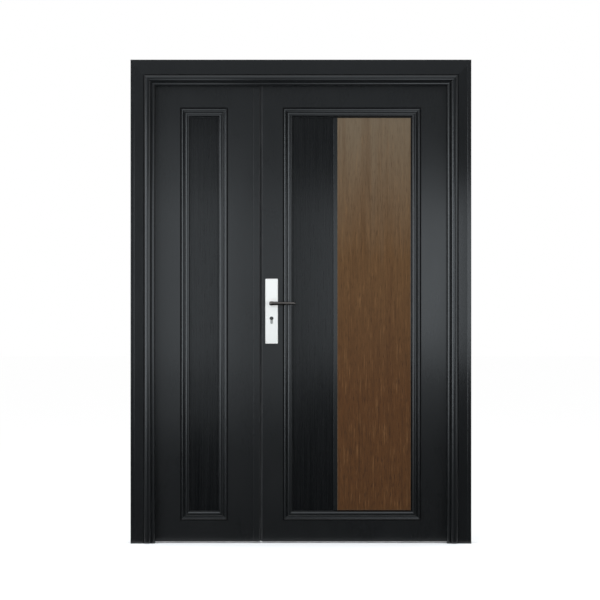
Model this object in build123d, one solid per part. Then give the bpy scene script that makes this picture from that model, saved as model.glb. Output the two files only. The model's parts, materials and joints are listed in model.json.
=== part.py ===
from build123d import *
import os

# A steel security door set: a narrow and a wide leaf hung in one pressed steel frame.
# Millimetres. X runs across the door from the left jamb's wall face, Y runs from the outside
# towards the inside with the closed leaves' outside faces at 0, and Z runs up from the floor.

# Frame, a closed section of pressed sheet mitred at both top corners
FRAME_WIDTH = 1500.0
FRAME_HEIGHT = 2130.0
JAMB_FACE = 108.0           # wall face to the edge of the stop
HEAD_FACE = 116.0           # top of the head to the edge of the stop
FRAME_SHEET = 2.0
REVEAL_DEPTH = 31.0         # flat face to the back of the stop
REBATE_WIDTH = 20.0
FLAT_FALL = 2.5             # how far the flat leans back towards the wall
OUTER_LAND = 15.0           # raised border along the wall, on the jambs
LAND_STEP = 2.0
ROLL_WIDTH = 30.0           # the half-round bead that runs round the frame
ROLL_RISE = 9.0
ROLL_GROOVE = 3.0
GROOVE_DEPTH = 2.0
VALLEY_WIDTH = 5.0
ARRIS_RADIUS = 14.0         # rounded edge that turns into the reveal
FRAME_CORNER = 3.0

# Leaves
LEAF_THICKNESS = 50.0
SEAL_SPACE = 4.0            # stop to leaf
EDGE_GAP = 6.0              # rebate to leaf
FLOOR_GAP = 6.0
MEETING_X = 574.8           # middle of the gap between the leaves, at the inside face
MEETING_GAP = 5.4           # between the leaves, at the inside face
SWING_MARGIN = 0.2          # extra bevel beyond the arc of the swinging edge
LEAF_CORNER = 2.0
SEAM_CHAMFER = 1.0

# Panels let into both faces of each leaf
SIDE_HINGE_STILE = 109.0    # edge of the stop to the moulding
SIDE_MEETING_STILE = 140.0
MAIN_MEETING_STILE = 90.0
MAIN_HINGE_STILE = 111.0
TOP_RAIL = 92.0
BOTTOM_RAIL = 92.0
PANEL_RECESS = 10.0
MOULDING_WIDTH = 46.0
MOULDING_RISE = 7.0
MOULDING_GROOVE = 5.0
BOARD_THICKNESS = 4.0
WOOD_BOARD_THICKNESS = 8.0
WOOD_BOARD_WIDTH = 324.0
BOARD_EDGE = 1.5
DIVIDER_WIDTH = 18.0
DIVIDER_STEP = 1.0          # how far the thicker board stands proud of the divider

# Hinges, three to a leaf
HINGE_HEIGHT = 120.0
HINGE_MARGIN = 190.0        # leaf end to the end of the outer hinges
HINGE_COUNT = 3
FLAP_DEPTH = 36.0
FLAP_CLEARANCE = 1.2        # between the two closed flaps
KNUCKLE_RADIUS = 7.0
KNUCKLE_CLEARANCE = 0.5
PIN_RADIUS = 3.5            # pins are fast in the frame's knuckles
PIN_CLEARANCE = 0.05

# Lever handles and lock
LEVER_HEIGHT = 1057.0
BACKSET = 41.0              # meeting edge to the lever's axis
PLATE_WIDTH = 56.0
PLATE_ABOVE = 109.0         # lever axis to the plate's top
PLATE_BELOW = 178.0
PLATE_THICKNESS = 7.0
PLATE_CORNER = 3.0
PLATE_EDGE = 1.5
COLLAR_RADIUS = 14.0
COLLAR_HEIGHT = 3.0
NECK_RADIUS = 10.0
NECK_CLEARANCE = 0.3
LEVER_STANDOFF = 40.0       # plate to the back of the lever
LEVER_THICKNESS = 11.0
LEVER_LENGTH = 106.0        # axis to tip
LEVER_TIP_RADIUS = 6.5
LEVER_EDGE = 2.5
SPINDLE_SIDE = 8.0
SPINDLE_BORE = 11.0         # radius of the bore through the leaf
CYLINDER_DROP = 66.0
CYLINDER_RADIUS = 8.5
CYLINDER_TAIL = 24.5        # cylinder centre to the end of the tail
CYLINDER_TAIL_RADIUS = 5.0
CYLINDER_PROUD = 2.0
CYLINDER_CLEARANCE = 0.3
KEYWAY_WIDTH = 2.0
KEYWAY_HEIGHT = 9.0
KEYWAY_DEPTH = 12.0
EDGE_PLATE_WIDTH = 22.0     # lock and strike plates in the meeting edges
EDGE_PLATE_THICKNESS = 3.0
EDGE_PLATE_INSET = 4.0      # outside face of the leaf to the edge plates
EDGE_PLATE_HEIGHT = 260.0
EDGE_PLATE_SINK = 0.3
BOLT_WIDTH = 14.0
BOLT_HEIGHT = 40.0
BOLT_PROUD = 1.5
FLUSH_BOLT_HEIGHT = 200.0
FLUSH_BOLT_MARGIN = 40.0

# Meeting parts
COVER_STRIP_WIDTH = 27.0
COVER_STRIP_THICKNESS = 3.0
COVER_STRIP_SETBACK = 1.5
COVER_STRIP_HEAD_GAP = 6.0
SEAL_TOUCH = 0.35           # air between the meeting seal and the other leaf
SEAL_WIDTH = 12.0
SEAL_BACK_INSET = 3.0
STOP_SEAL_WIDTH = 8.0
STOP_SEAL_TOUCH = 0.3
STOP_SEAL_INSET = 3.0       # stop edge to the seal

# Fixing holes through the frame
FIXING_RADIUS = 6.25
ACCESS_WINDOW = 22.0        # side of the square windows that a spanner reaches the bolts through
FIXING_DEPTH_Y = 22.0
JAMB_FIXINGS = (470.0, 820.0, 1230.0, 1580.0)
HEAD_FIXING_SPAN = 750.0

stop_y = -SEAL_SPACE
flat_y = stop_y - REVEAL_DEPTH
back_y = LEAF_THICKNESS
seam_y = LEAF_THICKNESS / 2
jamb_rebate = JAMB_FACE - REBATE_WIDTH
head_rebate = HEAD_FACE - REBATE_WIDTH
leaf_top = FRAME_HEIGHT - head_rebate - EDGE_GAP
side_edge_x = jamb_rebate + EDGE_GAP
main_edge_x = FRAME_WIDTH - side_edge_x
axis_y = back_y + KNUCKLE_RADIUS + KNUCKLE_CLEARANCE
side_axis_x = jamb_rebate + EDGE_GAP / 2
main_axis_x = FRAME_WIDTH - side_axis_x
side_meet_back = MEETING_X - MEETING_GAP / 2
main_meet_back = MEETING_X + MEETING_GAP / 2


def swing_bevel(reach):
    """How far the outside corner of a meeting edge stands back to clear its own swing."""
    far = axis_y
    near = axis_y - back_y
    return (far ** 2 - near ** 2) / (2 * reach) + SWING_MARGIN


side_bevel = swing_bevel(side_meet_back - side_axis_x)
main_bevel = swing_bevel(main_axis_x - main_meet_back)
side_meet_front = side_meet_back - side_bevel
main_meet_front = main_meet_back + main_bevel
lever_x = main_meet_front + BACKSET
cylinder_z = LEVER_HEIGHT - CYLINDER_DROP
plate_top = LEVER_HEIGHT + PLATE_ABOVE
plate_bottom = LEVER_HEIGHT - PLATE_BELOW
panel_bottom = FLOOR_GAP + BOTTOM_RAIL
panel_top = FRAME_HEIGHT - HEAD_FACE - TOP_RAIL
side_panel = (JAMB_FACE + SIDE_HINGE_STILE, side_meet_front - SIDE_MEETING_STILE)
main_panel = (main_meet_front + MAIN_MEETING_STILE, FRAME_WIDTH - JAMB_FACE - MAIN_HINGE_STILE)
flap_thickness = (EDGE_GAP - FLAP_CLEARANCE) / 2
mid_plane = Plane(origin=(FRAME_WIDTH / 2, 0, 0), z_dir=(1, 0, 0))
seam_plane = Plane(origin=(0, seam_y, 0), z_dir=(0, 1, 0))


def block(x0, x1, y0, y1, z0, z1):
    """A box between two corners."""
    middle = Pos((x0 + x1) / 2, (y0 + y1) / 2, (z0 + z1) / 2)
    return middle * Box(abs(x1 - x0), abs(y1 - y0), abs(z1 - z0))


def rod_y(x, z, radius, y0, y1):
    """A round bar along Y."""
    return Pos(x, (y0 + y1) / 2, z) * Rot(90, 0, 0) * Cylinder(radius, abs(y1 - y0))


def rod_x(y, z, radius, x0, x1):
    """A round bar along X."""
    return Pos((x0 + x1) / 2, y, z) * Rot(0, 90, 0) * Cylinder(radius, abs(x1 - x0))


def rod_z(x, y, radius, z0, z1):
    """A round bar along Z."""
    return Pos(x, y, (z0 + z1) / 2) * Cylinder(radius, abs(z1 - z0))


def front_prism(points):
    """A prism through the whole depth over an outline drawn in the front view."""
    outline = Plane.XZ * make_face(Polyline(*points, close=True))
    return extrude(outline, amount=400, both=True)


def corners_at(face, value, along_x=False):
    """The corners of a plan outline that lie on one line."""
    if along_x:
        return [v for v in face.vertices() if abs(v.X - value) < 0.01]
    return [v for v in face.vertices() if abs(v.Y - value) < 0.01]


def frame_section(face_width, bordered):
    """Hollow section of a frame member: X from the wall face inwards, Y in depth."""
    rebate = face_width - REBATE_WIDTH
    roll_end = face_width - ARRIS_RADIUS - VALLEY_WIDTH
    roll_start = roll_end - ROLL_WIDTH
    flat_end = roll_start - ROLL_GROOVE
    border = []
    if bordered:
        border = [
            (OUTER_LAND, flat_y + FLAT_FALL - LAND_STEP),
            (OUTER_LAND + LAND_STEP, flat_y + FLAT_FALL - LAND_STEP / 4),
        ]
    wall_y = flat_y + FLAT_FALL - (LAND_STEP if bordered else 0)
    outside = Polyline(
        (rebate, back_y),
        (0, back_y),
        (0, wall_y),
        *border,
        (flat_end, flat_y),
        (flat_end + ROLL_GROOVE / 2, flat_y + GROOVE_DEPTH),
        (roll_start, flat_y),
    )
    roll = ThreePointArc(
        (roll_start, flat_y),
        ((roll_start + roll_end) / 2, flat_y - ROLL_RISE),
        (roll_end, flat_y),
    )
    arris_start = (face_width - ARRIS_RADIUS, flat_y - GROOVE_DEPTH)
    valley = Polyline(
        (roll_end, flat_y),
        (roll_end + VALLEY_WIDTH / 2, flat_y + GROOVE_DEPTH),
        arris_start,
    )
    arris_middle = ARRIS_RADIUS * 0.5 ** 0.5
    arris = ThreePointArc(
        arris_start,
        (face_width - ARRIS_RADIUS + arris_middle, flat_y - GROOVE_DEPTH + ARRIS_RADIUS - arris_middle),
        (face_width, flat_y - GROOVE_DEPTH + ARRIS_RADIUS),
    )
    stop = Polyline(
        (face_width, flat_y - GROOVE_DEPTH + ARRIS_RADIUS),
        (face_width, stop_y),
        (rebate, stop_y),
        (rebate, back_y),
    )
    outer = make_face(Curve() + [outside, roll, valley, arris, stop])
    rounded = corners_at(outer, back_y) + [v for v in corners_at(outer, 0, True) if v.Y < 0]
    outer = fillet(rounded, FRAME_CORNER)
    return outer - frame_void(face_width)


def frame_void(face_width):
    """The space inside a frame member, one sheet in from its outline."""
    sheet = FRAME_SHEET
    rebate = face_width - REBATE_WIDTH
    front = flat_y + max(FLAT_FALL, GROOVE_DEPTH) + sheet
    roll_middle = face_width - ARRIS_RADIUS - VALLEY_WIDTH - ROLL_WIDTH / 2
    roll_radius = ((ROLL_WIDTH / 2) ** 2 + ROLL_RISE ** 2) / (2 * ROLL_RISE)
    roll_drop = flat_y - ROLL_RISE + roll_radius - front
    roll_half = ((roll_radius - sheet) ** 2 - roll_drop ** 2) ** 0.5
    arris_y = flat_y - GROOVE_DEPTH + ARRIS_RADIUS
    inner = ARRIS_RADIUS - sheet
    arris_reach = (inner ** 2 - (arris_y - front) ** 2) ** 0.5
    arris_x = face_width - ARRIS_RADIUS
    turn = 0.9
    lines = [
        Polyline(
            (rebate - sheet, back_y - sheet),
            (sheet, back_y - sheet),
            (sheet, front),
            (roll_middle - roll_half, front),
        ),
        ThreePointArc(
            (roll_middle - roll_half, front),
            (roll_middle, flat_y - ROLL_RISE + sheet),
            (roll_middle + roll_half, front),
        ),
        Line((roll_middle + roll_half, front), (arris_x + arris_reach, front)),
        ThreePointArc(
            (arris_x + arris_reach, front),
            (arris_x + turn * inner + (1 - turn) * arris_reach,
             arris_y - (inner ** 2 - (turn * inner + (1 - turn) * arris_reach) ** 2) ** 0.5),
            (arris_x + inner, arris_y),
        ),
        Polyline(
            (arris_x + inner, arris_y),
            (face_width - sheet, stop_y - sheet),
            (rebate - sheet, stop_y - sheet),
            (rebate - sheet, back_y - sheet),
        ),
    ]
    return make_face(Curve() + lines)


def jamb():
    """Left jamb, mitred at the top, with fixing holes and square windows to reach the bolts."""
    bar = extrude(frame_section(JAMB_FACE, True), amount=FRAME_HEIGHT)
    keep = front_prism([
        (-1, 0),
        (JAMB_FACE, 0),
        (JAMB_FACE, FRAME_HEIGHT - HEAD_FACE),
        (-1, FRAME_HEIGHT - HEAD_FACE + JAMB_FACE + 1),
    ])
    bar = bar & keep
    reach = ACCESS_WINDOW / 2
    for z in JAMB_FIXINGS:
        bar -= rod_x(FIXING_DEPTH_Y, z, FIXING_RADIUS, -2, 2 * FRAME_SHEET)
        bar -= block(jamb_rebate - 2 * FRAME_SHEET, jamb_rebate + 2, FIXING_DEPTH_Y - reach,
                     FIXING_DEPTH_Y + reach, z - reach, z + reach)
    return bar


def head():
    """Head of the frame, mitred at both ends."""
    plane = Plane(origin=(0, 0, FRAME_HEIGHT), x_dir=(0, 0, -1), z_dir=(1, 0, 0))
    bar = extrude(plane * frame_section(HEAD_FACE, False), amount=FRAME_WIDTH)
    corner = FRAME_HEIGHT - HEAD_FACE
    keep = front_prism([
        (JAMB_FACE, corner),
        (FRAME_WIDTH - JAMB_FACE, corner),
        (FRAME_WIDTH, corner + JAMB_FACE),
        (FRAME_WIDTH, FRAME_HEIGHT),
        (0, FRAME_HEIGHT),
        (0, corner + JAMB_FACE),
    ])
    bar = bar & keep
    reach = ACCESS_WINDOW / 2
    for x in (FRAME_WIDTH / 2 - HEAD_FIXING_SPAN / 2, FRAME_WIDTH / 2 + HEAD_FIXING_SPAN / 2):
        low = FRAME_HEIGHT - head_rebate
        bar -= rod_z(x, FIXING_DEPTH_Y, FIXING_RADIUS, FRAME_HEIGHT - 2 * FRAME_SHEET, FRAME_HEIGHT + 2)
        bar -= block(x - reach, x + reach, FIXING_DEPTH_Y - reach, FIXING_DEPTH_Y + reach,
                     low - 2, low + 2 * FRAME_SHEET)
    return bar


def stop_seal_section(face_width):
    """Rubber strip on the back of the stop, flat at its seat and rounded towards the leaf."""
    right = face_width - STOP_SEAL_INSET
    left = right - STOP_SEAL_WIDTH
    tip = -STOP_SEAL_TOUCH
    seat = Polyline((left, stop_y + 1), (left, stop_y), (right, stop_y), (right, stop_y + 1))
    bulb = ThreePointArc((right, stop_y + 1), ((left + right) / 2, tip), (left, stop_y + 1))
    return make_face(Curve() + [seat, bulb])


def jamb_seal():
    """Seal on the left jamb, ending under the head's seal."""
    top = FRAME_HEIGHT - HEAD_FACE + STOP_SEAL_INSET
    return extrude(stop_seal_section(JAMB_FACE), amount=top)


def head_seal():
    """Seal along the head, from jamb to jamb."""
    plane = Plane(origin=(jamb_rebate, 0, FRAME_HEIGHT), x_dir=(0, 0, -1), z_dir=(1, 0, 0))
    return extrude(plane * stop_seal_section(HEAD_FACE), amount=FRAME_WIDTH - 2 * jamb_rebate)


def leaf_half(hinge_x, meet_back, meet_front, panel, outside):
    """One skin of a leaf with its filling, out to the seam at mid thickness."""
    middle = (meet_back + meet_front) / 2
    face_y = 0 if outside else back_y
    face_x = meet_front if outside else meet_back
    outline = make_face(Polyline(
        (hinge_x, face_y),
        (face_x, face_y),
        (middle, seam_y),
        (hinge_x, seam_y),
        close=True,
    ))
    outline = fillet(corners_at(outline, face_y), LEAF_CORNER)
    outline = chamfer(corners_at(outline, seam_y), SEAM_CHAMFER)
    slab = Pos(0, 0, FLOOR_GAP) * extrude(outline, amount=leaf_top - FLOOR_GAP)
    inner_y = PANEL_RECESS if outside else back_y - PANEL_RECESS
    outer_y = -1 if outside else back_y + 1
    return slab - block(panel[0], panel[1], inner_y, outer_y, panel_bottom, panel_top)


def edge_plate_box(meet_back, meet_front, bottom, top, depth, inward):
    """The block taken by a plate let into a meeting edge; inward is +1 or -1 along X."""
    slope = (meet_front - meet_back) / LEAF_THICKNESS
    y0 = EDGE_PLATE_INSET
    y1 = y0 + EDGE_PLATE_WIDTH
    face_x = meet_back + slope * (back_y - y0) + inward * EDGE_PLATE_SINK
    return face_x, y0, y1, bottom, top, face_x + inward * depth


def edge_plate(meet_back, meet_front, bottom, top, inward):
    """A flat plate let into a meeting edge."""
    x0, y0, y1, z0, z1, x1 = edge_plate_box(
        meet_back, meet_front, bottom, top, EDGE_PLATE_THICKNESS, inward)
    return block(x0, x1, y0, y1, z0, z1)


def edge_plate_pocket(meet_back, meet_front, bottom, top, inward):
    """The cut that an edge plate sits in, open towards the gap."""
    x0, y0, y1, z0, z1, x1 = edge_plate_box(
        meet_back, meet_front, bottom, top, EDGE_PLATE_THICKNESS, inward)
    return block(x0 - inward * 3 * EDGE_PLATE_THICKNESS, x1, y0, y1, z0, z1)


def moulding_section():
    """Panel moulding: X from its outer edge inwards, Y up from the leaf's face."""
    width = MOULDING_WIDTH
    crown = MOULDING_RISE
    low = -MOULDING_GROOVE
    foot = Polyline(
        (width, -PANEL_RECESS),
        (0, -PANEL_RECESS),
        (0, low),
        (0.10 * width, low),
        (0.13 * width, 0),
        (0.18 * width, 0.3 * crown),
        (0.24 * width, 0.42 * crown),
        (0.30 * width, 0.3 * crown),
        (0.36 * width, -0.2 * crown),
        (0.43 * width, -0.3 * crown),
    )
    bead = ThreePointArc(
        (0.43 * width, -0.3 * crown),
        (0.68 * width, crown),
        (0.92 * width, -0.4 * crown),
    )
    lip = Polyline(
        (0.92 * width, -0.4 * crown),
        (0.95 * width, BOARD_THICKNESS - PANEL_RECESS),
        (width, BOARD_THICKNESS - PANEL_RECESS),
        (width, -PANEL_RECESS),
    )
    return make_face(Curve() + [foot, bead, lip])


def moulding_lengths(panel):
    """Stiles and rails of the moulding round an outside panel, mitred at the corners."""
    x0, x1 = panel
    z0, z1 = panel_bottom, panel_top
    w = MOULDING_WIDTH
    section = moulding_section()
    left = extrude(Plane((x0, 0, z1), x_dir=(1, 0, 0), z_dir=(0, 0, -1)) * section, amount=z1 - z0)
    right = extrude(Plane((x1, 0, z0), x_dir=(-1, 0, 0), z_dir=(0, 0, 1)) * section, amount=z1 - z0)
    low = extrude(Plane((x0, 0, z0), x_dir=(0, 0, 1), z_dir=(1, 0, 0)) * section, amount=x1 - x0)
    high = extrude(Plane((x1, 0, z1), x_dir=(0, 0, -1), z_dir=(-1, 0, 0)) * section, amount=x1 - x0)
    left &= front_prism([(x0, z0), (x0 + w, z0 + w), (x0 + w, z1 - w), (x0, z1)])
    right &= front_prism([(x1, z0), (x1 - w, z0 + w), (x1 - w, z1 - w), (x1, z1)])
    low &= front_prism([(x0, z0), (x0 + w, z0 + w), (x1 - w, z0 + w), (x1, z0)])
    high &= front_prism([(x0, z1), (x0 + w, z1 - w), (x1 - w, z1 - w), (x1, z1)])
    return [left, right], [low, high]


def field(panel):
    """The space inside a panel's moulding: left, right, bottom, top."""
    w = MOULDING_WIDTH
    return panel[0] + w, panel[1] - w, panel_bottom + w, panel_top - w


def board(x0, x1, z0, z1, thickness):
    """A flat board on the floor of an outside panel, with its face edges eased."""
    slab = block(x0, x1, PANEL_RECESS - thickness, PANEL_RECESS, z0, z1)
    face = slab.faces().sort_by(Axis.Y)[0]
    return chamfer(face.edges(), BOARD_EDGE)


def divider(x0, x1, z0, z1):
    """Flat trim between the two boards of the wide panel, its free edge eased."""
    bar = block(x0, x1, PANEL_RECESS - WOOD_BOARD_THICKNESS + DIVIDER_STEP, PANEL_RECESS, z0, z1)
    edge = bar.edges().filter_by(Axis.Z).group_by(Axis.Y)[0].sort_by(Axis.X)[0]
    return chamfer(edge, BOARD_EDGE)


def hinge_heights():
    """Middle heights of the hinges, evenly shared."""
    low = FLOOR_GAP + HINGE_MARGIN + HINGE_HEIGHT / 2
    high = leaf_top - HINGE_MARGIN - HINGE_HEIGHT / 2
    step = (high - low) / (HINGE_COUNT - 1)
    return [low + step * n for n in range(HINGE_COUNT)]


def hinge(z):
    """One butt hinge on the left jamb: frame flap with its fast pin, and leaf flap."""
    bottom = z - HINGE_HEIGHT / 2
    third = HINGE_HEIGHT / 3
    front = back_y - FLAP_DEPTH
    bore = rod_z(side_axis_x, axis_y, PIN_RADIUS + PIN_CLEARANCE, bottom - 1, bottom + HINGE_HEIGHT + 1)
    frame_flap = block(jamb_rebate, jamb_rebate + flap_thickness, front, back_y, bottom,
                       bottom + HINGE_HEIGHT)
    leaf_flap = block(side_edge_x - flap_thickness, side_edge_x, front, back_y, bottom,
                      bottom + HINGE_HEIGHT)
    for n in range(3):
        ease = KNUCKLE_CLEARANCE / 2
        z0 = bottom + n * third + (ease if n else 0)
        z1 = bottom + (n + 1) * third - (ease if n < 2 else 0)
        barrel = rod_z(side_axis_x, axis_y, KNUCKLE_RADIUS, z0, z1)
        if n == 1:
            web = block(side_edge_x - flap_thickness, side_edge_x, back_y, axis_y, z0, z1)
            leaf_flap += barrel + web
        else:
            web = block(jamb_rebate, jamb_rebate + flap_thickness, back_y, axis_y, z0, z1)
            frame_flap += barrel + web
    frame_flap += rod_z(side_axis_x, axis_y, PIN_RADIUS, bottom + third / 2, bottom + 2.5 * third)
    return frame_flap, leaf_flap - bore


def handle_plate():
    """Outside back plate with a collar round the lever's neck and the lock cylinder's hole."""
    x0 = lever_x - PLATE_WIDTH / 2
    x1 = lever_x + PLATE_WIDTH / 2
    plate = block(x0, x1, -PLATE_THICKNESS, 0, plate_bottom, plate_top)
    plate = fillet(plate.edges().filter_by(Axis.Y), PLATE_CORNER)
    plate = chamfer(plate.faces().sort_by(Axis.Y)[0].edges(), PLATE_EDGE)
    plate += rod_y(lever_x, LEVER_HEIGHT, COLLAR_RADIUS, -PLATE_THICKNESS - COLLAR_HEIGHT, -1)
    through = -2 * (PLATE_THICKNESS + COLLAR_HEIGHT)
    plate -= rod_y(lever_x, LEVER_HEIGHT, NECK_RADIUS + NECK_CLEARANCE, through, 1)
    return plate - cylinder_bar(CYLINDER_CLEARANCE, through, 1)


def cylinder_bar(extra, y0, y1):
    """The lock cylinder's keyhole-shaped bar, grown by a clearance."""
    low = cylinder_z - CYLINDER_TAIL + CYLINDER_TAIL_RADIUS
    half = CYLINDER_TAIL_RADIUS + extra
    bar = rod_y(lever_x, cylinder_z, CYLINDER_RADIUS + extra, y0, y1)
    bar += rod_y(lever_x, low, half, y0, y1)
    return bar + block(lever_x - half, lever_x + half, y0, y1, low, cylinder_z)


def lock_cylinder():
    """Lock cylinder through the leaf, with a keyway at both ends."""
    y0 = -PLATE_THICKNESS - CYLINDER_PROUD
    y1 = back_y + PLATE_THICKNESS + CYLINDER_PROUD
    bar = cylinder_bar(0, y0, y1)
    half = KEYWAY_WIDTH / 2
    low = cylinder_z - KEYWAY_HEIGHT / 2
    for a, b in ((y0 - 1, y0 + KEYWAY_DEPTH), (y1 - KEYWAY_DEPTH, y1 + 1)):
        bar -= block(lever_x - half, lever_x + half, a, b, low, low + KEYWAY_HEIGHT)
    return bar


def lever():
    """Outside lever: a tapering rounded arm on a round neck with a square socket."""
    arm_back = -PLATE_THICKNESS - LEVER_STANDOFF
    reach = LEVER_LENGTH - LEVER_TIP_RADIUS
    ends = Circle(NECK_RADIUS) + Pos(reach, 0) * Circle(LEVER_TIP_RADIUS)
    outline = make_hull(ends.edges())
    plane = Plane((lever_x, arm_back, LEVER_HEIGHT), x_dir=(1, 0, 0), z_dir=(0, -1, 0))
    arm = extrude(plane * outline, amount=LEVER_THICKNESS)
    arm = chamfer(arm.faces().sort_by(Axis.Y)[0].edges(), LEVER_EDGE)
    neck = rod_y(lever_x, LEVER_HEIGHT, NECK_RADIUS, arm_back - 1, -1)
    half = SPINDLE_SIDE / 2
    socket = block(lever_x - half, lever_x + half, -PLATE_THICKNESS - LEVER_STANDOFF / 2, 1,
                   LEVER_HEIGHT - half, LEVER_HEIGHT + half)
    return arm + neck - socket


def spindle():
    """Square bar that joins the two levers through the leaf."""
    half = SPINDLE_SIDE / 2
    end = PLATE_THICKNESS + LEVER_STANDOFF / 2
    return block(lever_x - half, lever_x + half, -end, back_y + end,
                 LEVER_HEIGHT - half, LEVER_HEIGHT + half)


def meeting_seal():
    """Rubber bulb along the wide leaf's meeting edge, closing the gap near the inside face."""
    y1 = back_y - SEAL_BACK_INSET
    y0 = y1 - SEAL_WIDTH
    slope = main_bevel / LEAF_THICKNESS
    root0 = main_meet_back + slope * (back_y - y0)
    root1 = main_meet_back + slope * (back_y - y1)
    tip = side_meet_back + SEAL_TOUCH
    seat = Polyline((root0 - 1, y0), (root0, y0), (root1, y1), (root1 - 1, y1))
    bulb = ThreePointArc((root1 - 1, y1), (tip, y1 - 0.4 * SEAL_WIDTH), (root0 - 1, y0))
    section = make_face(Curve() + [seat, bulb])
    return Pos(0, 0, FLOOR_GAP) * extrude(section, amount=leaf_top - FLOOR_GAP)


def cover_strip():
    """Flat strip on the narrow leaf's outside face along its meeting edge."""
    x1 = side_meet_front - COVER_STRIP_SETBACK
    top = FRAME_HEIGHT - HEAD_FACE - COVER_STRIP_HEAD_GAP
    strip = block(x1 - COVER_STRIP_WIDTH, x1, -COVER_STRIP_THICKNESS, 0, FLOOR_GAP, top)
    edges = strip.faces().sort_by(Axis.Y)[0].edges().filter_by(Axis.Z)
    return chamfer(edges, COVER_STRIP_THICKNESS / 2)


def flipped(shapes):
    """The same pieces on the inside face."""
    return [mirror(shape, about=seam_plane) for shape in shapes]


def across(shapes):
    """The same pieces on the other side of the frame."""
    return [mirror(shape, about=mid_plane) for shape in shapes]


nodes = {}
nodes["left_jamb"] = [jamb()]
nodes["right_jamb"] = across(nodes["left_jamb"])
nodes["frame_head"] = [head()]
nodes["left_jamb_seal"] = [jamb_seal()]
nodes["right_jamb_seal"] = across(nodes["left_jamb_seal"])
nodes["head_seal"] = [head_seal()]

hinges = [hinge(z) for z in hinge_heights()]
nodes["side_hinge_frame_flaps"] = [h[0] for h in hinges]
nodes["side_hinge_leaf_flaps"] = [h[1] for h in hinges]
nodes["main_hinge_frame_flaps"] = across(nodes["side_hinge_frame_flaps"])
nodes["main_hinge_leaf_flaps"] = across(nodes["side_hinge_leaf_flaps"])

# Narrow leaf
lock_bottom = LEVER_HEIGHT - CYLINDER_DROP / 2 - EDGE_PLATE_HEIGHT / 2
lock_top = lock_bottom + EDGE_PLATE_HEIGHT
flush_low = FLOOR_GAP + FLUSH_BOLT_MARGIN
flush_high = leaf_top - FLUSH_BOLT_MARGIN
flush_spans = [
    (flush_low, flush_low + FLUSH_BOLT_HEIGHT),
    (flush_high - FLUSH_BOLT_HEIGHT, flush_high),
]
side_halves = [leaf_half(side_edge_x, side_meet_back, side_meet_front, side_panel, o) for o in (True, False)]
for span in [(lock_bottom, lock_top)] + flush_spans:
    pocket = edge_plate_pocket(side_meet_back, side_meet_front, span[0], span[1], -1)
    side_halves = [half - pocket for half in side_halves]
nodes["side_leaf_outside"] = [side_halves[0]]
nodes["side_leaf_inside"] = [side_halves[1]]

strike = edge_plate(side_meet_back, side_meet_front, lock_bottom, lock_top, -1)
plate_mid_y = EDGE_PLATE_INSET + EDGE_PLATE_WIDTH / 2
bolt_heights = [lock_bottom + EDGE_PLATE_HEIGHT * share for share in (0.2, 0.5, 0.8)]
for z in bolt_heights:
    half = BOLT_WIDTH / 2 + 1
    strike -= block(side_meet_back - EDGE_PLATE_WIDTH, side_meet_back + EDGE_PLATE_WIDTH, plate_mid_y - half,
                    plate_mid_y + half, z - BOLT_HEIGHT / 2 - 1, z + BOLT_HEIGHT / 2 + 1)
nodes["strike_plate"] = [strike]
nodes["flush_bolts"] = [edge_plate(side_meet_back, side_meet_front, a, b, -1) for a, b in flush_spans]
nodes["cover_strip"] = [cover_strip()]

side_stiles, side_rails = moulding_lengths(side_panel)
side_board = [board(*field(side_panel), BOARD_THICKNESS)]
nodes["side_outside_stile_moulding"] = side_stiles
nodes["side_outside_rail_moulding"] = side_rails
nodes["side_outside_panel"] = side_board
nodes["side_inside_stile_moulding"] = flipped(side_stiles)
nodes["side_inside_rail_moulding"] = flipped(side_rails)
nodes["side_inside_panel"] = flipped(side_board)

# Wide leaf
main_halves = [leaf_half(main_edge_x, main_meet_back, main_meet_front, main_panel, o) for o in (True, False)]
lock_pocket = edge_plate_pocket(main_meet_back, main_meet_front, lock_bottom, lock_top, 1)
spindle_bore = rod_y(lever_x, LEVER_HEIGHT, SPINDLE_BORE, -1, back_y + 1)
cylinder_bore = cylinder_bar(CYLINDER_CLEARANCE, -1, back_y + 1)
main_halves = [half - lock_pocket - spindle_bore - cylinder_bore for half in main_halves]
nodes["main_leaf_outside"] = [main_halves[0]]
nodes["main_leaf_inside"] = [main_halves[1]]
nodes["meeting_seal"] = [meeting_seal()]

face_plate = edge_plate(main_meet_back, main_meet_front, lock_bottom, lock_top, 1)
plate_x = edge_plate_box(main_meet_back, main_meet_front, 0, 1, EDGE_PLATE_THICKNESS, 1)[0]
bolts = []
for z in bolt_heights:
    half = BOLT_WIDTH / 2
    bolts.append(block(plate_x - BOLT_PROUD, plate_x + EDGE_PLATE_THICKNESS, plate_mid_y - half,
                       plate_mid_y + half, z - BOLT_HEIGHT / 2, z + BOLT_HEIGHT / 2))
for bolt in bolts:
    face_plate -= bolt
nodes["lock_face_plate"] = [face_plate]
nodes["lock_bolts"] = bolts

main_stiles, main_rails = moulding_lengths(main_panel)
left, right, low, high = field(main_panel)
wood_left = right - WOOD_BOARD_WIDTH
trim_left = wood_left - DIVIDER_WIDTH
dark_board = [board(left, trim_left, low, high, BOARD_THICKNESS)]
wood_board = [board(wood_left, right, low, high, WOOD_BOARD_THICKNESS)]
trim = [divider(trim_left, wood_left, low, high)]
nodes["main_outside_stile_moulding"] = main_stiles
nodes["main_outside_rail_moulding"] = main_rails
nodes["main_outside_dark_panel"] = dark_board
nodes["main_outside_wood_panel"] = wood_board
nodes["main_outside_divider"] = trim
nodes["main_inside_stile_moulding"] = flipped(main_stiles)
nodes["main_inside_rail_moulding"] = flipped(main_rails)
nodes["main_inside_dark_panel"] = flipped(dark_board)
nodes["main_inside_wood_panel"] = flipped(wood_board)
nodes["main_inside_divider"] = flipped(trim)

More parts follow.
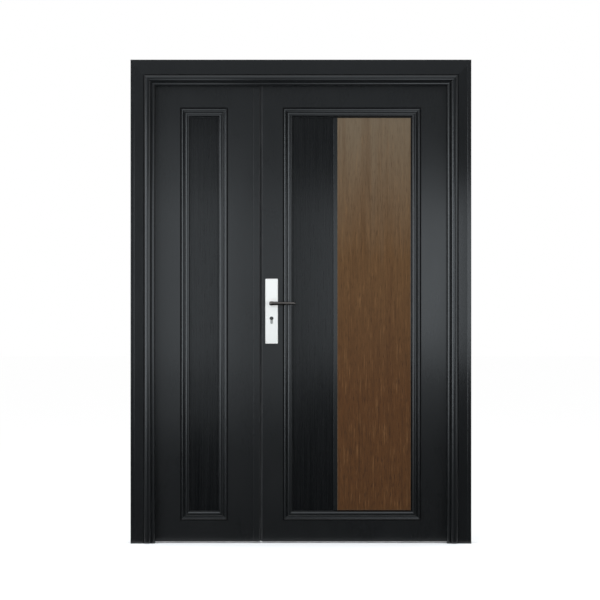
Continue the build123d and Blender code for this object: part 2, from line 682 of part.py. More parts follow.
nodes["outside_handle_plate"] = [handle_plate()]
nodes["inside_handle_plate"] = flipped(nodes["outside_handle_plate"])
nodes["lock_cylinder"] = [lock_cylinder()]
nodes["outside_lever"] = [lever()]
nodes["inside_lever"] = flipped(nodes["outside_lever"])
nodes["lever_spindle"] = [spindle()]

os.makedirs("parts", exist_ok=True)
for name, shapes in nodes.items():
    solids = []
    for shape in shapes:
        solids.extend(shape.solids())
    export_step(Compound(solids), f"parts/{name}.step")
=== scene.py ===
import json
import math

import bpy
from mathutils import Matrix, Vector


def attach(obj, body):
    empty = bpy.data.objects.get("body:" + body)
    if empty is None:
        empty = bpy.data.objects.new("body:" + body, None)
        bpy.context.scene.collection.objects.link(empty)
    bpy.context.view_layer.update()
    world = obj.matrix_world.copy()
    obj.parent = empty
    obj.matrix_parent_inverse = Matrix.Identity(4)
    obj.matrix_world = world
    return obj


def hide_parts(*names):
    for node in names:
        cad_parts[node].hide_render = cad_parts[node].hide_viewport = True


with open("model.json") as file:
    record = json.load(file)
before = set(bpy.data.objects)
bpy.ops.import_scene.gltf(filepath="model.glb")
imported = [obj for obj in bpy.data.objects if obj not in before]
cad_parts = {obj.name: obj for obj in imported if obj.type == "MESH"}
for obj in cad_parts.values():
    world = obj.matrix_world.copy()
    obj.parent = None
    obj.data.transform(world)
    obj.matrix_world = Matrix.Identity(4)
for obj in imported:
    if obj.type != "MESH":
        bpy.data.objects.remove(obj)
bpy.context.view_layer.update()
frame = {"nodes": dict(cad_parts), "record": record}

nodes = frame["nodes"]
scene = bpy.context.scene
scene.view_settings.view_transform = "Standard"

# Places on the door, in metres.
LEAF_MIDDLE_Z, LEAF_HEIGHT, LEAF_THICKNESS = 1.017, 2.018, 0.05
MEETING_BEVEL = 0.0036          # how far the narrow leaf's meeting edge leans over its thickness
MIDDLE_Y = 0.025                # middle of the leaves' thickness
LEVER_X, LEVER_Z, CYLINDER_Z = 0.620654, 1.057, 0.991
SIDE_EDGE_X, MAIN_EDGE_X = 0.56847, 0.57978    # faces of the plates in the meeting edges
EDGE_PLATE_Y = 0.015            # middle of those plates
HINGE_Z = (0.256, 1.017, 1.778)
# Screw holes of a hinge flap: depth, and height from the flap's middle.
FLAP_HOLES = ((0.024, -0.044), (0.038, -0.016), (0.024, 0.016), (0.038, 0.044))
WINDOW_Y = 0.022                # middle of the spanner windows in the frame
JAMB_WINDOW_Z, HEAD_WINDOW_X = (0.470, 0.820, 1.230, 1.580), (0.375, 1.125)
MOULDING_FOOT, MOULDING_TOP = 0.0981, 1.9219   # height of the quirk round the panel mouldings

# Turns that take a piece made facing up to the way it faces on the door.
TO_RIGHT, TO_LEFT = (0, math.pi / 2, 0), (0, -math.pi / 2, 0)
TO_INSIDE, TO_OUTSIDE, DOWN = (-math.pi / 2, 0, 0), (math.pi / 2, 0, 0), (math.pi, 0, 0)

SQUARE_ON = 0.9                 # a face whose normal reaches this along an axis faces that way
TINY = 1e-6                     # two heights closer than this are the same
UPRIGHT = 0.001                 # an edge that rises more than this runs through a small piece


def shade(red, green, blue):
    """A colour read off a paint card in 0-255 steps, as the shader wants it."""
    steps = [c / 255 for c in (red, green, blue)]
    return (*[c / 12.92 if c <= 0.04045 else ((c + 0.055) / 1.055) ** 2.4 for c in steps], 1)


class Wire:
    """A value on its way through a finish, with Python arithmetic on it."""

    def __init__(self, finish, socket):
        self.finish, self.socket = finish, socket

    def maths(self, operation, *values):
        return self.finish.add("ShaderNodeMath", {"operation": operation}, dict(enumerate(values)))

    def __add__(self, other):
        return self.maths("ADD", self, other)

    def __sub__(self, other):
        return self.maths("SUBTRACT", self, other)

    def __rsub__(self, other):
        return self.maths("SUBTRACT", other, self)

    def __mul__(self, other):
        return self.maths("MULTIPLY", self, other)

    def __truediv__(self, other):
        return self.maths("DIVIDE", self, other)

    __radd__, __rmul__ = __add__, __mul__

    def kept_between(self, low, high):
        return self.maths("MINIMUM", self.maths("MAXIMUM", self, low), high)


class Finish:
    """One material: nodes around a single shader, on the door's own coordinates in metres."""

    def __init__(self, name, **fixed):
        self.material = bpy.data.materials.new(name)
        self.material.use_nodes = True
        self.tree = self.material.node_tree
        self.shader = self.tree.nodes["Principled BSDF"]
        for socket, value in fixed.items():
            self.shader.inputs[socket.replace("_", " ")].default_value = value
        self.place = self.add("ShaderNodeTexCoord", out="Object")

    def feed(self, socket, value):
        if isinstance(value, Wire):
            self.tree.links.new(value.socket, socket)
        else:
            socket.default_value = value

    def add(self, kind, settings=None, sockets=None, out=0):
        """A node of any kind: its settings first, then the values or links of its sockets."""
        node = self.tree.nodes.new(kind)
        for key, value in (settings or {}).items():
            if key == "stops":
                ramp = node.color_ramp
                while len(ramp.elements) < len(value):
                    ramp.elements.new(0.5)
                for element, (position, colour) in zip(ramp.elements, value):
                    element.position, element.color = position, colour
            else:
                setattr(node, key, value)
        for key, value in (sockets or {}).items():
            self.feed(node.inputs[key], value)
        return Wire(self, node.outputs[out])

    def mottle(self, across, deep, upright, detail=3.0, roughness=0.5, distortion=0.0):
        """Cloudy noise with so many steps a metre across, in depth and upright."""
        stretched = self.add("ShaderNodeMapping", None,
                             {"Vector": self.place, "Scale": (across, deep, upright)})
        return self.add("ShaderNodeTexNoise", None, {
            "Vector": stretched, "Scale": 1.0, "Detail": detail,
            "Roughness": roughness, "Distortion": distortion})

    def between(self, factor, first, second):
        return self.add("ShaderNodeMix", {"data_type": "RGBA"}, {0: factor, 6: first, 7: second}, out=2)

    def swell(self, value, low, high):
        """A value taken from low-high onto 0-1."""
        return ((value - low) / (high - low)).kept_between(0, 1)

    def edges(self, radius):
        """1 along the arrises of a piece, 0 on its flats."""
        rounded = self.add("ShaderNodeBevel", {"samples": 4}, {"Radius": radius})
        flat = self.add("ShaderNodeNewGeometry", out="Normal")
        lean = self.add("ShaderNodeVectorMath", {"operation": "DOT_PRODUCT"},
                        {0: rounded, 1: flat}, out="Value")
        return self.swell(1 - lean, 0.02, 0.22)

    def emboss(self, height, strength, distance):
        return self.add("ShaderNodeBump", None,
                        {"Height": height, "Strength": strength, "Distance": distance})

    def dress(self, colour, roughness, normal):
        for name, value in (("Base Color", colour), ("Roughness", roughness), ("Normal", normal)):
            self.feed(self.shader.inputs[name], value)
        return self.material


def satin_black_paint(name, dark, light, sheen_low, sheen_high):
    """Sprayed satin black on steel: a faint orange peel, cloudy sheen, thin paint on the arrises."""
    f = Finish(name)
    clouds = f.mottle(5, 5, 2.2, detail=4, roughness=0.6)
    peel = f.mottle(520, 520, 420, detail=2)
    dust = f.mottle(1700, 1700, 1700, detail=1)
    worn = f.edges(0.0016) * f.swell(f.mottle(45, 45, 12, detail=5), 0.42, 0.72)
    colour = f.between(clouds, dark, light)
    colour = f.between(worn * 0.5, colour, shade(70, 71, 73))
    sheen = sheen_low + f.swell(clouds, 0.3, 0.7) * (sheen_high - sheen_low)
    return f.dress(colour, sheen + dust * 0.04 - worn * 0.05, f.emboss(peel, 0.05, 0.0004))


def grained_black_board():
    """Black film pressed with an upright open grain."""
    f = Finish("black_grained_board", Specular_IOR_Level=0.34)
    streaks = f.mottle(150, 150, 1.6, detail=5, roughness=0.65, distortion=0.2)
    pores = f.swell(f.mottle(330, 330, 9, detail=2), 0.56, 0.70)
    clouds = f.mottle(9, 9, 1.6, detail=3)
    colour = f.between(f.swell(streaks, 0.30, 0.72), shade(5, 6, 7), shade(15, 16, 17))
    colour = f.between(pores * 0.8, colour, shade(3, 3, 4))
    rough = 0.19 + streaks * 0.08 + clouds * 0.04 + pores * 0.12
    return f.dress(colour, rough, f.emboss(streaks - pores * 0.6, 0.30, 0.0005))


def brown_wood_board():
    """Brown wood-grain film: upright flecks and pores, with painted light: paler, greyer and with fainter
    grain towards the top as a painted sheen from above, and a painted highlight on its edges.
    """
    f = Finish("wood_grain_board", Specular_IOR_Level=0.10)
    height = f.add("ShaderNodeSeparateXYZ", None, {"Vector": f.place}, out="Z")
    bands = f.mottle(24, 24, 0.9, detail=4, roughness=0.55, distortion=0.35)
    flecks = f.mottle(165, 165, 9, detail=5, roughness=0.62, distortion=0.25)
    streaks = f.mottle(230, 230, 2.5, detail=5, roughness=0.6)
    pores = f.swell(f.mottle(430, 430, 26, detail=2), 0.56, 0.68)
    # painted light: a painted sheen from above that grows with height, making the board paler and greyer
    # towards the top
    painted_top_sheen = f.swell(height + (bands - 0.5) * 0.35, 0.0, 2.0)
    # the grain's contrast fades towards the top under the painted sheen
    grain_strength_under_painted_sheen = 1.7 - painted_top_sheen * 1.35
    colour = f.add("ShaderNodeValToRGB", {"stops": [
        (0.32, shade(67, 41, 18)), (0.63, shade(75, 52, 28)), (0.93, shade(86, 74, 59))]}, {"Fac": painted_top_sheen})
    for mask, tone in (
        (f.swell(bands, 0.48, 0.26) * 0.22, shade(56, 35, 17)),
        (f.swell(streaks, 0.50, 0.78) * grain_strength_under_painted_sheen * 0.30, shade(50, 32, 16)),
        (f.swell(flecks, 0.52, 0.72) * grain_strength_under_painted_sheen * 0.50, shade(48, 30, 14)),
        (f.swell(flecks, 0.44, 0.26) * grain_strength_under_painted_sheen * 0.30, shade(122, 90, 56)),
        (pores * grain_strength_under_painted_sheen * 0.5, shade(36, 22, 11)),
        # painted highlight: a pale line along the board's arrises, as if they catch the light
        (f.edges(0.003) * 0.45, shade(150, 140, 124)),
    ):
        colour = f.between(mask, colour, tone)
    rough = 0.46 + flecks * 0.12 + pores * 0.12
    return f.dress(colour, rough, f.emboss(flecks - pores * 0.5, 0.18, 0.0005))


def brushed_metal(name, dark, light, rough_low, rough_high, lines, bare=1.0):
    """Metal with fine drawn lines, so many a metre across, in depth and upright, and rub marks.

    bare is the share that shines as bare metal; the rest is a pale matt skin.
    """
    f = Finish(name, Metallic=bare)
    drawn = f.mottle(*lines, detail=3, roughness=0.6)
    smears = f.mottle(16, 16, 11, detail=3, roughness=0.5, distortion=0.4)
    colour = f.between(f.swell(drawn * 0.5 + smears * 0.5, 0.32, 0.68), dark, light)
    rough = rough_low + f.swell(smears, 0.3, 0.7) * (rough_high - rough_low) + drawn * 0.04
    return f.dress(colour, rough, f.emboss(drawn, 0.03, 0.0002))


def black_rubber(name, dark, light, shine):
    """Matt black rubber with a dusty bloom; also the near-black strips that paint the shade in the
    moulding quirks.
    """
    f = Finish(name, Specular_IOR_Level=shine)
    bloom = f.mottle(60, 60, 18, detail=5, roughness=0.6)
    skin = f.mottle(1300, 1300, 900, detail=2)
    colour = f.between(f.swell(bloom, 0.35, 0.75), dark, light)
    return f.dress(colour, 0.60 + bloom * 0.2, f.emboss(skin, 0.15, 0.0003))


def moulded_plastic():
    """Black moulded plastic with a fine spark texture."""
    f = Finish("black_plastic")
    spark = f.mottle(1500, 1500, 1500, detail=2)
    tone = f.mottle(70, 70, 70, detail=3)
    colour = f.between(tone, shade(18, 18, 19), shade(30, 30, 31))
    return f.dress(colour, 0.42 + tone * 0.12, f.emboss(spark, 0.12, 0.0002))


finishes = {
    "black_door_paint": satin_black_paint(
        "black_door_paint", shade(15, 16, 17), shade(20, 21, 22), 0.24, 0.29),
    "black_trim": satin_black_paint(
        "black_trim", shade(14, 16, 17), shade(20, 22, 23), 0.21, 0.26),
    "black_grained_board": grained_black_board(),
    "wood_grain_board": brown_wood_board(),
    "plate_steel": brushed_metal(
        "plate_steel", shade(250, 246, 241), shade(253, 250, 245), 0.38, 0.42, (900, 900, 14), 0.89),
    "lever_metal": brushed_metal(
        "lever_metal", shade(90, 85, 82), shade(112, 106, 102), 0.16, 0.24, (14, 900, 900)),
    "cylinder_nickel": brushed_metal(
        "cylinder_nickel", shade(168, 166, 161), shade(192, 190, 185), 0.22, 0.32, (700, 40, 700)),
    "lock_steel": brushed_metal(
        "lock_steel", shade(170, 172, 174), shade(202, 203, 204), 0.26, 0.38, (900, 900, 16)),
    "hinge_steel": satin_black_paint(
        "hinge_steel", shade(24, 25, 26), shade(33, 34, 36), 0.28, 0.38),
    "black_rubber": black_rubber(
        "black_rubber", shade(17, 17, 18), shade(34, 34, 35), 0.35),
}
glossier_paint = satin_black_paint(
    "black_frame_paint", shade(13, 14, 15), shade(18, 19, 20), 0.185, 0.225)
dark_plug = brushed_metal(
    "dark_key_plug", shade(14, 14, 15), shade(26, 26, 27), 0.30, 0.42, (800, 60, 800))
screw_steel = brushed_metal(
    "screw_steel", shade(150, 151, 153), shade(190, 191, 192), 0.24, 0.36, (500, 500, 500))
# near-black colour of the strips that paint the shade in the moulding quirks
quirk_shade_black = black_rubber("quirk_shade_black", shade(6, 6, 7), shade(14, 14, 15), 0.2)
black_plastic = moulded_plastic()

# Finishes and edges of the CAD nodes.
glossier_nodes = ("left_jamb", "right_jamb", "frame_head")
eased_edge = {
    "outside_handle_plate": 0.0006, "inside_handle_plate": 0.0006, "cover_strip": 0.0006,
    "main_outside_divider": 0.0006, "main_inside_divider": 0.0006,
    "main_outside_wood_panel": 0.0005, "main_inside_wood_panel": 0.0005,
}
slot_of = {piece["node"]: piece["material_slot"] for piece in frame["record"]["subparts"]}
for name, obj in nodes.items():
    obj.data.materials.clear()
    glossier = name in glossier_nodes or name.endswith("_moulding")
    obj.data.materials.append(glossier_paint if glossier else finishes[slot_of[name]])
    for face in obj.data.polygons:
        face.use_smooth = True
    weld = obj.modifiers.new("joined_edges", "WELD")
    weld.merge_threshold = 0.00001
    if name in eased_edge:
        bevel = obj.modifiers.new("eased_edges", "BEVEL")
        bevel.width, bevel.segments = eased_edge[name], 3
        bevel.limit_method, bevel.angle_limit = "ANGLE", math.radians(32)
    else:
        split = obj.modifiers.new("crisp_arrises", "EDGE_SPLIT")
        split.split_angle = math.radians(28)
    flats = obj.modifiers.new("true_flats", "WEIGHTED_NORMAL")
    flats.mode, flats.weight, flats.keep_sharp = "FACE_AREA", 100, True


def begin(name, primitive, **how):
    """One new primitive, alone in the selection, with its place in its mesh."""
    bpy.ops.object.select_all(action="DESELECT")
    primitive(**how)
    piece = bpy.context.object
    piece.name = piece.data.name = name
    bpy.ops.object.transform_apply(location=True, rotation=True, scale=True)
    return piece


def block(name, place, size, turn=(0, 0, 0)):
    return begin(name, bpy.ops.mesh.primitive_cube_add, size=1, location=place, rotation=turn, scale=size)


def rod(name, sides, radius, length, place, turn=(0, 0, 0)):
    return begin(name, bpy.ops.mesh.primitive_cylinder_add, vertices=sides, radius=radius,
                 depth=length, location=place, rotation=turn)


def pick(piece, faces=None, edges=None):
    """Goes into edit mode with only the faces or edges that pass a test selected."""
    bpy.ops.object.mode_set(mode="EDIT")
    bpy.ops.mesh.select_mode(type="FACE" if faces else "EDGE")
    bpy.ops.mesh.select_all(action="DESELECT")
    bpy.ops.object.mode_set(mode="OBJECT")
    points = piece.data.vertices
    if faces:
        for face in piece.data.polygons:
            face.select = bool(faces(face.center, face.normal))
    else:
        for edge in piece.data.edges:
            edge.select = bool(edges(*[points[i].co for i in edge.vertices]))
    bpy.ops.object.mode_set(mode="EDIT")


def leave():
    bpy.ops.object.mode_set(mode="OBJECT")


def everything(centre, normal):
    return True


def top(centre, normal):
    return normal.z > SQUARE_ON


def foot(centre, normal):
    return normal.z < -SQUARE_ON


def upright_edges(a, b):
    return abs(a.z - b.z) > UPRIGHT


def inset(width, rise):
    """Insets the selected faces and lifts what is inside the border."""
    bpy.ops.mesh.inset(thickness=width)
    bpy.ops.transform.translate(value=(0, 0, rise))


def grow(way, slim):
    """Draws the selected faces out and scales their end."""
    bpy.ops.mesh.extrude_region_move(TRANSFORM_OT_translate={"value": way})
    bpy.ops.transform.resize(value=slim)


def ease(piece, edges, offset, segments):
    """Bevels the edges that pass a test."""
    pick(piece, edges=edges)
    bpy.ops.mesh.bevel(offset=offset, segments=segments)
    leave()


def alone(piece):
    bpy.ops.object.select_all(action="DESELECT")
    piece.select_set(True)
    bpy.context.view_layer.objects.active = piece


def cut(piece, tool, operation="DIFFERENCE"):
    """Cuts a tool out of a piece, or joins it on, and throws the tool away."""
    alone(piece)
    boolean = piece.modifiers.new("cut", "BOOLEAN")
    boolean.operation, boolean.object, boolean.solver = operation, tool, "EXACT"
    bpy.ops.object.modifier_apply(modifier="cut")
    bpy.data.objects.remove(tool)


def twin(piece, place=(0, 0, 0), turn=(0, 0, 0)):
    """A copy with its own mesh, turned and then moved."""
    copy = piece.copy()
    copy.data = piece.data.copy()
    scene.collection.objects.link(copy)
    copy.location, copy.rotation_euler = place, turn
    alone(copy)
    bpy.ops.object.transform_apply(location=True, rotation=True, scale=True)
    return copy


def gather(name, pieces):
    """Several small pieces as one."""
    alone(pieces[0])
    for piece in pieces:
        piece.select_set(True)
    bpy.ops.object.join()
    whole = bpy.context.object
    whole.name = whole.data.name = name
    return whole


def finished(piece, body, slot, material=None, smooth=32):
    """Gives a piece its smooth faces, finish and body."""
    alone(piece)
    bpy.ops.object.shade_smooth_by_angle(angle=math.radians(smooth))
    piece.data.materials.clear()
    piece.data.materials.append(material or finishes[slot])
    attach(piece, body)


def rubber_fin(name, body, root, tip, low, high):
    """Rubber fin up a leaf's meeting edge, from its root towards the other leaf, thinning to its tip."""
    side = 1 if tip > root else -1
    base = 0.0008
    fin = block(name, (root + side * base / 2, (low + high) / 2, LEAF_MIDDLE_Z),
                (base, high - low, LEAF_HEIGHT))
    reach = tip - root - side * base
    for share, slim in ((0.5, 0.8), (0.3, 0.8), (0.2, 0.6)):
        pick(fin, faces=lambda c, n: n.x * side > SQUARE_ON)
        grow((reach * share, 0, 0), (1, slim, 1))
        leave()
    finished(fin, body, "black_rubber", smooth=50)


def landing_tape():
    """Thin rubber tape on the narrow leaf's bevelled edge, where the meeting seal lands."""
    thickness, width, border, dish = 0.0004, 0.020, 0.004, 0.00008
    lean = math.atan2(MEETING_BEVEL, LEAF_THICKNESS)
    tape = block("seal_landing_tape", (0.57130, 0.0390, LEAF_MIDDLE_Z),
                 (thickness, width, LEAF_HEIGHT), (0, 0, -lean))
    pick(tape, faces=lambda c, n: n.x > SQUARE_ON)
    bpy.ops.mesh.inset(thickness=border)
    bpy.ops.transform.translate(value=(-dish, 0, 0))
    leave()
    finished(tape, "side_leaf", "black_rubber")


def quirk_shade_strip(name, body, left, right, front, back):
    """Near-black strip run into the quirk round a panel moulding, as painted shade where the quirk falls
    dark.
    """
    width, near_middle = 0.0050, 0.01
    middle = Vector(((left + right) / 2, (front + back) / 2, (MOULDING_FOOT + MOULDING_TOP) / 2))
    line = block(name, middle, (right - left, back - front, MOULDING_TOP - MOULDING_FOOT))
    for way in (-1, 1):
        pick(line, faces=lambda c, n: n.y * way > SQUARE_ON)
        bpy.ops.mesh.inset(thickness=width)
        leave()
    pick(line, faces=lambda c, n: abs(n.y) > SQUARE_ON and (c - middle).length < near_middle)
    bpy.ops.mesh.bridge_edge_loops()
    leave()
    ease(line, lambda a, b: abs(a.y - b.y) < TINY and (a.x - b.x) * (a.z - b.z) == 0, 0.0003, 2)
    finished(line, body, "black_rubber", quirk_shade_black)


def cross_screw():
    """Countersunk screw head with a crowned face and a cross recess, facing up from the origin."""
    radius, depth, sunk = 0.0042, 0.0014, 0.00045
    head = rod("screw", 24, radius, depth, (0, 0, -sunk))
    pick(head, faces=top)
    inset(0.0012, 0.00012)
    leave()
    pick(head, faces=foot)
    bpy.ops.transform.resize(value=(0.72, 0.72, 1))
    leave()
    for turn in (0, math.pi / 2):
        slot = block("slot", (0, 0, 0.0002), (0.0046, 0.0009, 0.0014), (0, 0, turn))
        ease(slot, lambda a, b: abs(a.z - b.z) < TINY and a.z < 0, 0.0002, 1)
        cut(head, slot)
    return head


def window_cap():
    """Square clip-in cover for a spanner window, facing up from the origin, with a pry notch."""
    side, thickness, corner, skirt = 0.027, 0.0014, 0.003, 0.006
    cap = block("window_cap", (0, 0, thickness / 2), (side, side, thickness))
    ease(cap, upright_edges, corner, 4)
    pick(cap, faces=top)
    inset(0.0010, 0.0004)
    inset(0.0012, -0.0003)
    leave()
    pick(cap, faces=foot)
    bpy.ops.mesh.inset(thickness=0.0027)
    grow((0, 0, -skirt), (0.94, 0.94, 1))
    leave()
    notch = block("notch", (side / 2, 0, 0.0001), (0.003, 0.006, 0.001))
    ease(notch, lambda a, b: abs(a.x - b.x) > UPRIGHT, 0.0003, 1)
    cut(cap, notch)
    return cap


def bolt_slide():
    """Ridged thumb slide of a flush bolt, facing up from the origin."""
    ridge_pitch, ridge_radius, ridge_length, ridge_height = 0.0032, 0.0008, 0.0056, 0.0014
    slide = block("slide", (0, 0, 0.0004), (0.036, 0.009, 0.0014))
    ease(slide, upright_edges, 0.0042, 5)
    pick(slide, faces=top)
    inset(0.0009, 0.0005)
    leave()
    ridge = rod("ridge", 16, ridge_radius, ridge_length, (0, 0, ridge_height), (math.pi / 2, 0, 0))
    pick(ridge, faces=lambda c, n: abs(n.y) > SQUARE_ON)
    bpy.ops.mesh.bevel(offset=0.0003, segments=2)
    leave()
    ridges = [twin(ridge, (step * ridge_pitch, 0, 0)) for step in (-2, -1, 0, 1, 2)]
    bpy.data.objects.remove(ridge)
    return gather("slide", [slide] + ridges)


def key_plug():
    """Plug of the lock with a raised rim and the key's slot, facing up from the origin."""
    radius, thickness = 0.0066, 0.0016
    rim_height, rim_radius = 0.00079, 0.0065     # the rim's outer edge lies beyond both
    plug = rod("plug", 40, radius, thickness, (0, 0, 0))
    pick(plug, faces=top)
    bpy.ops.mesh.inset(thickness=0.0007)
    bpy.ops.mesh.extrude_region_move(TRANSFORM_OT_translate={"value": (0, 0, -0.0003)})
    inset(0.0005, 0.0002)
    leave()
    ease(plug, lambda a, b: min(a.z, b.z) > rim_height and min(a.xy.length, b.xy.length) > rim_radius,
         0.0003, 3)
    for place, size in (
        ((0, 0.0006, 0), (0.0019, 0.0078, 0.004)),
        ((0.0006, -0.0022, 0), (0.0024, 0.0012, 0.004)),
    ):
        slot = block("slot", place, size)
        ease(slot, upright_edges, 0.00025, 2)
        cut(plug, slot)
    return plug


def lever_handle():
    """Lever cast in one: an oval arm that thins towards its tip, on a waisted neck, outside the door."""
    arm_y, arm_radius, arm_oval = -0.0526, 0.0053, 1.58
    neck_y, neck_radius = -0.0125, 0.0098
    arm = rod("outside_lever_handle", 28, arm_radius, 0.014, (LEVER_X, arm_y, LEVER_Z), TO_RIGHT)
    pick(arm, faces=everything)
    bpy.ops.transform.resize(value=(1, 1, arm_oval))
    leave()
    pick(arm, faces=lambda c, n: n.x > SQUARE_ON)
    for step, slim in ((0.012, 0.93), (0.018, 0.86), (0.026, 0.90), (0.026, 0.94), (0.0105, 0.94)):
        grow((step, 0, 0), (1, min(1, slim + 0.05), slim))
    for step, slim in ((0.0036, 0.86), (0.0020, 0.70), (0.0008, 0.45)):
        grow((step, 0, 0), (1, slim, slim))
    leave()
    pick(arm, faces=lambda c, n: n.x < -SQUARE_ON)
    for step, slim in ((0.0014, 0.88), (0.0010, 0.70), (0.0004, 0.4)):
        grow((-step, 0, 0), (1, slim, slim))
    leave()
    neck = rod("neck", 40, neck_radius, 0.008, (LEVER_X, neck_y, LEVER_Z), TO_OUTSIDE)
    pick(neck, faces=lambda c, n: n.y < -SQUARE_ON)
    for step, slim in ((0.003, 0.86), (0.004, 0.92), (0.018, 1.0), (0.005, 1.08), (0.006, 1.02)):
        grow((0, -step, 0), (slim, 1, slim))
    leave()
    cut(arm, neck, "UNION")
    pick(arm, faces=everything)
    bpy.ops.mesh.remove_doubles(threshold=0.00002)
    bpy.ops.mesh.normals_make_consistent(inside=False)
    leave()
    return arm


def other_face(piece, name):
    """The same piece on the inside face of the door."""
    copy = twin(piece)
    copy.name = copy.data.name = name
    pick(copy, faces=everything)
    bpy.ops.transform.resize(value=(1, -1, 1), center_override=(0, MIDDLE_Y, 0))
    bpy.ops.mesh.normals_make_consistent(inside=False)
    leave()
    return copy


# Rubber, and near-black strips that paint the shade in the moulding quirks: piece, body, root and tip
# across, low and high in depth.
rubber_fin("main_meeting_fin", "main_leaf", 0.5799, 0.5741, 0.0012, 0.0038)
rubber_fin("side_meeting_fin", "side_leaf", 0.5683, 0.5719, 0.0012, 0.0038)
rubber_fin("meeting_seal_lip", "main_leaf", 0.5735, 0.57176, 0.0412, 0.0432)
landing_tape()
# painted shade: near-black strips in the quirks round the panel mouldings
for body, left, right in (("side_leaf", 0.2171, 0.4284), ("main_leaf", 0.66975, 1.2809)):
    short = body.split("_")[0]
    quirk_shade_strip(f"{short}_outside_quirk_shade", body, left, right, 0.0041, 0.0053)
    quirk_shade_strip(f"{short}_inside_quirk_shade", body, left, right, 0.0447, 0.0459)

# Screws: piece, body, the face that they sit in, and the way they face.
screw = cross_screw()
for name, body, x, turn in (
    ("side_frame_hinge_screws", "frame", 0.0904, TO_RIGHT),
    ("side_leaf_hinge_screws", "side_leaf", 0.0916, TO_LEFT),
    ("main_frame_hinge_screws", "frame", 1.4096, TO_LEFT),
    ("main_leaf_hinge_screws", "main_leaf", 1.4084, TO_RIGHT),
):
    heads = [twin(screw, (x, y, z + up), turn) for z in HINGE_Z for y, up in FLAP_HOLES]
    finished(gather(name, heads), body, "hinge_steel", screw_steel)
for name, body, x, turn, heights in (
    ("lock_plate_screws", "main_leaf", MAIN_EDGE_X, TO_LEFT, (0.904, 1.144)),
    ("strike_plate_screws", "side_leaf", SIDE_EDGE_X, TO_RIGHT, (0.904, 1.144)),
    ("flush_bolt_screws", "side_leaf", SIDE_EDGE_X, TO_RIGHT, (0.056, 0.236, 1.798, 1.978)),
):
    heads = [twin(screw, (x, EDGE_PLATE_Y, z), turn) for z in heights]
    finished(gather(name, heads), body, "lock_steel", screw_steel)
heads = [twin(screw, (LEVER_X, 0.057, z), TO_INSIDE) for z in (0.893, 1.152)]
finished(gather("inside_plate_screws", heads), "main_leaf", "plate_steel", screw_steel)
bpy.data.objects.remove(screw)

slide = bolt_slide()
slides = [twin(slide, (SIDE_EDGE_X, EDGE_PLATE_Y, z), TO_RIGHT) for z in (0.146, 1.888)]
finished(gather("flush_bolt_slides", slides), "side_leaf", "lock_steel")
bpy.data.objects.remove(slide)

cap = window_cap()
caps = [twin(cap, (0.088, WINDOW_Y, z), TO_RIGHT) for z in JAMB_WINDOW_Z]
caps += [twin(cap, (1.412, WINDOW_Y, z), TO_LEFT) for z in JAMB_WINDOW_Z]
caps += [twin(cap, (x, WINDOW_Y, 2.034), DOWN) for x in HEAD_WINDOW_X]
finished(gather("bolt_window_caps", caps), "frame", "black_door_paint", black_plastic)
bpy.data.objects.remove(cap)

plug = key_plug()
plugs = [twin(plug, (LEVER_X, -0.0092, CYLINDER_Z), TO_OUTSIDE),
         twin(plug, (LEVER_X, 0.0592, CYLINDER_Z), TO_INSIDE)]
finished(gather("key_plugs", plugs), "main_leaf", "cylinder_nickel", dark_plug)
bpy.data.objects.remove(plug)

outside_lever = lever_handle()
inside_lever = other_face(outside_lever, "inside_lever_handle")
for piece, node in ((outside_lever, "outside_lever"), (inside_lever, "inside_lever")):
    finished(piece, "levers", "lever_metal", smooth=40)
    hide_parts(node)


def stage_sheet(name, corners, colour):
    """A flat matt stage surface through four corners."""
    mesh = bpy.data.meshes.new(name)
    mesh.from_pydata(corners, [], [(0, 1, 2, 3)])
    sheet = bpy.data.objects.new(name, mesh)
    scene.collection.objects.link(sheet)
    material = bpy.data.materials.new(name)
    material.use_nodes = True
    shader = material.node_tree.nodes["Principled BSDF"]
    shader.inputs["Base Color"].default_value = (colour, colour, colour, 1)
    shader.inputs["Roughness"].default_value = 1.0
    shader.inputs["Specular IOR Level"].default_value = 0.0
    mesh.materials.append(material)
    return sheet


# A white floor, and black velvet that shows only in the door's own reflections.
FLOOR_WHITE, VELVET_BLACK = 0.99, 0.004
stage_sheet("pale_floor", [(-40, -40, 0), (40, -40, 0), (40, 40, 0), (-40, 40, 0)], FLOOR_WHITE)
for name, corners in {
    "velvet_before_door": [(-30, -6, 0), (30, -6, 0), (30, -6, 30), (-30, -6, 30)],
    "velvet_on_floor": [(-30, -6, 0.005), (30, -6, 0.005), (30, -0.065, 0.005), (-30, -0.065, 0.005)],
    "velvet_behind_door": [(-30, 6, 0), (30, 6, 0), (30, 6, 30), (-30, 6, 30)],
}.items():
    velvet = stage_sheet(name, corners, VELVET_BLACK)
    velvet.visible_camera = velvet.visible_diffuse = velvet.visible_shadow = False

COOL_DAYLIGHT = (0.92, 1.0, 1.06)


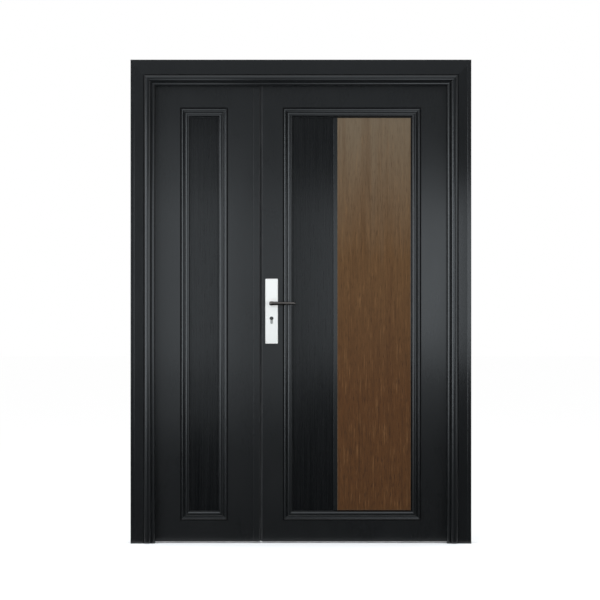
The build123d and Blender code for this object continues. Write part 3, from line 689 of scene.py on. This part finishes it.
def softbox(name, place, aim, width, height, level):
    """A soft lamp whose face is as bright as a card of that level."""
    lamp = bpy.data.lights.new(name, "AREA")
    lamp.shape = "RECTANGLE"
    lamp.size, lamp.size_y = width, height
    lamp.energy = level * math.pi * width * height
    lamp.color = COOL_DAYLIGHT
    box = bpy.data.objects.new(name, lamp)
    box.location = place
    box.rotation_euler = (Vector(aim) - Vector(place)).to_track_quat("-Z", "Y").to_euler()
    scene.collection.objects.link(box)


# Lamps: place, aim, width, height and level.
softbox("front_left_tall_softbox", (0.23, -1.0, 1.17), (0.23, 0, 1.17), 0.40, 1.4, 0.60)
softbox("front_left_low_softbox", (0.23, -1.001, 1.17), (0.23, 0, 1.17), 0.40, 0.85, 0.70)
softbox("front_softbox", (0.585, -1.6, 1.10), (0.585, 0, 1.10), 0.33, 1.1, 0.57)
softbox("front_right_softbox", (0.975, -1.6, 1.17), (0.975, 0, 1.17), 0.45, 0.9, 1.4)
softbox("right_softbox", (1.475, -1.6, 1.19), (1.475, 0, 1.19), 0.55, 0.85, 2.3)
softbox("left_panel", (-2.25, -2.7, 1.25), (0.3, 0, 1.2), 3.0, 1.7, 3.8)
softbox("right_panel", (4.6, -2.3, 1.25), (1.3, 0, 1.2), 3.0, 1.7, 1.8)
softbox("upper_fill", (0.75, -4.0, 2.9), (0.75, 0, 2.4), 3.0, 1.5, 0.35)
softbox("overhead_panel", (0.75, -2.6, 4.9), (0.75, 0, 2.0), 5.0, 3.4, 1.2)
softbox("inside_softbox", (0.75, 1.6, 1.15), (0.75, 0, 1.15), 1.7, 1.1, 1.0)

world = bpy.data.worlds.new("white_room")
scene.world = world
world.use_nodes = True
room = world.node_tree.nodes["Background"]
room.inputs["Color"].default_value = (1, 1, 1, 1)
room.inputs["Strength"].default_value = 1.0
world.cycles.sampling_method = "NONE"

SENSOR_MM, STAND_OFF, VIEW_WIDTH = 36, 12, 2.64    # the picture is VIEW_WIDTH metres wide at STAND_OFF
camera_data = bpy.data.cameras.new("camera")
camera_data.sensor_width = SENSOR_MM
camera_data.lens = SENSOR_MM * STAND_OFF / VIEW_WIDTH
camera_data.clip_end = 100
camera = bpy.data.objects.new("camera", camera_data)
camera.location = (0.746, -12.035, 1.072)
camera.rotation_euler = (math.pi / 2, 0, 0)
scene.collection.objects.link(camera)
scene.camera = camera
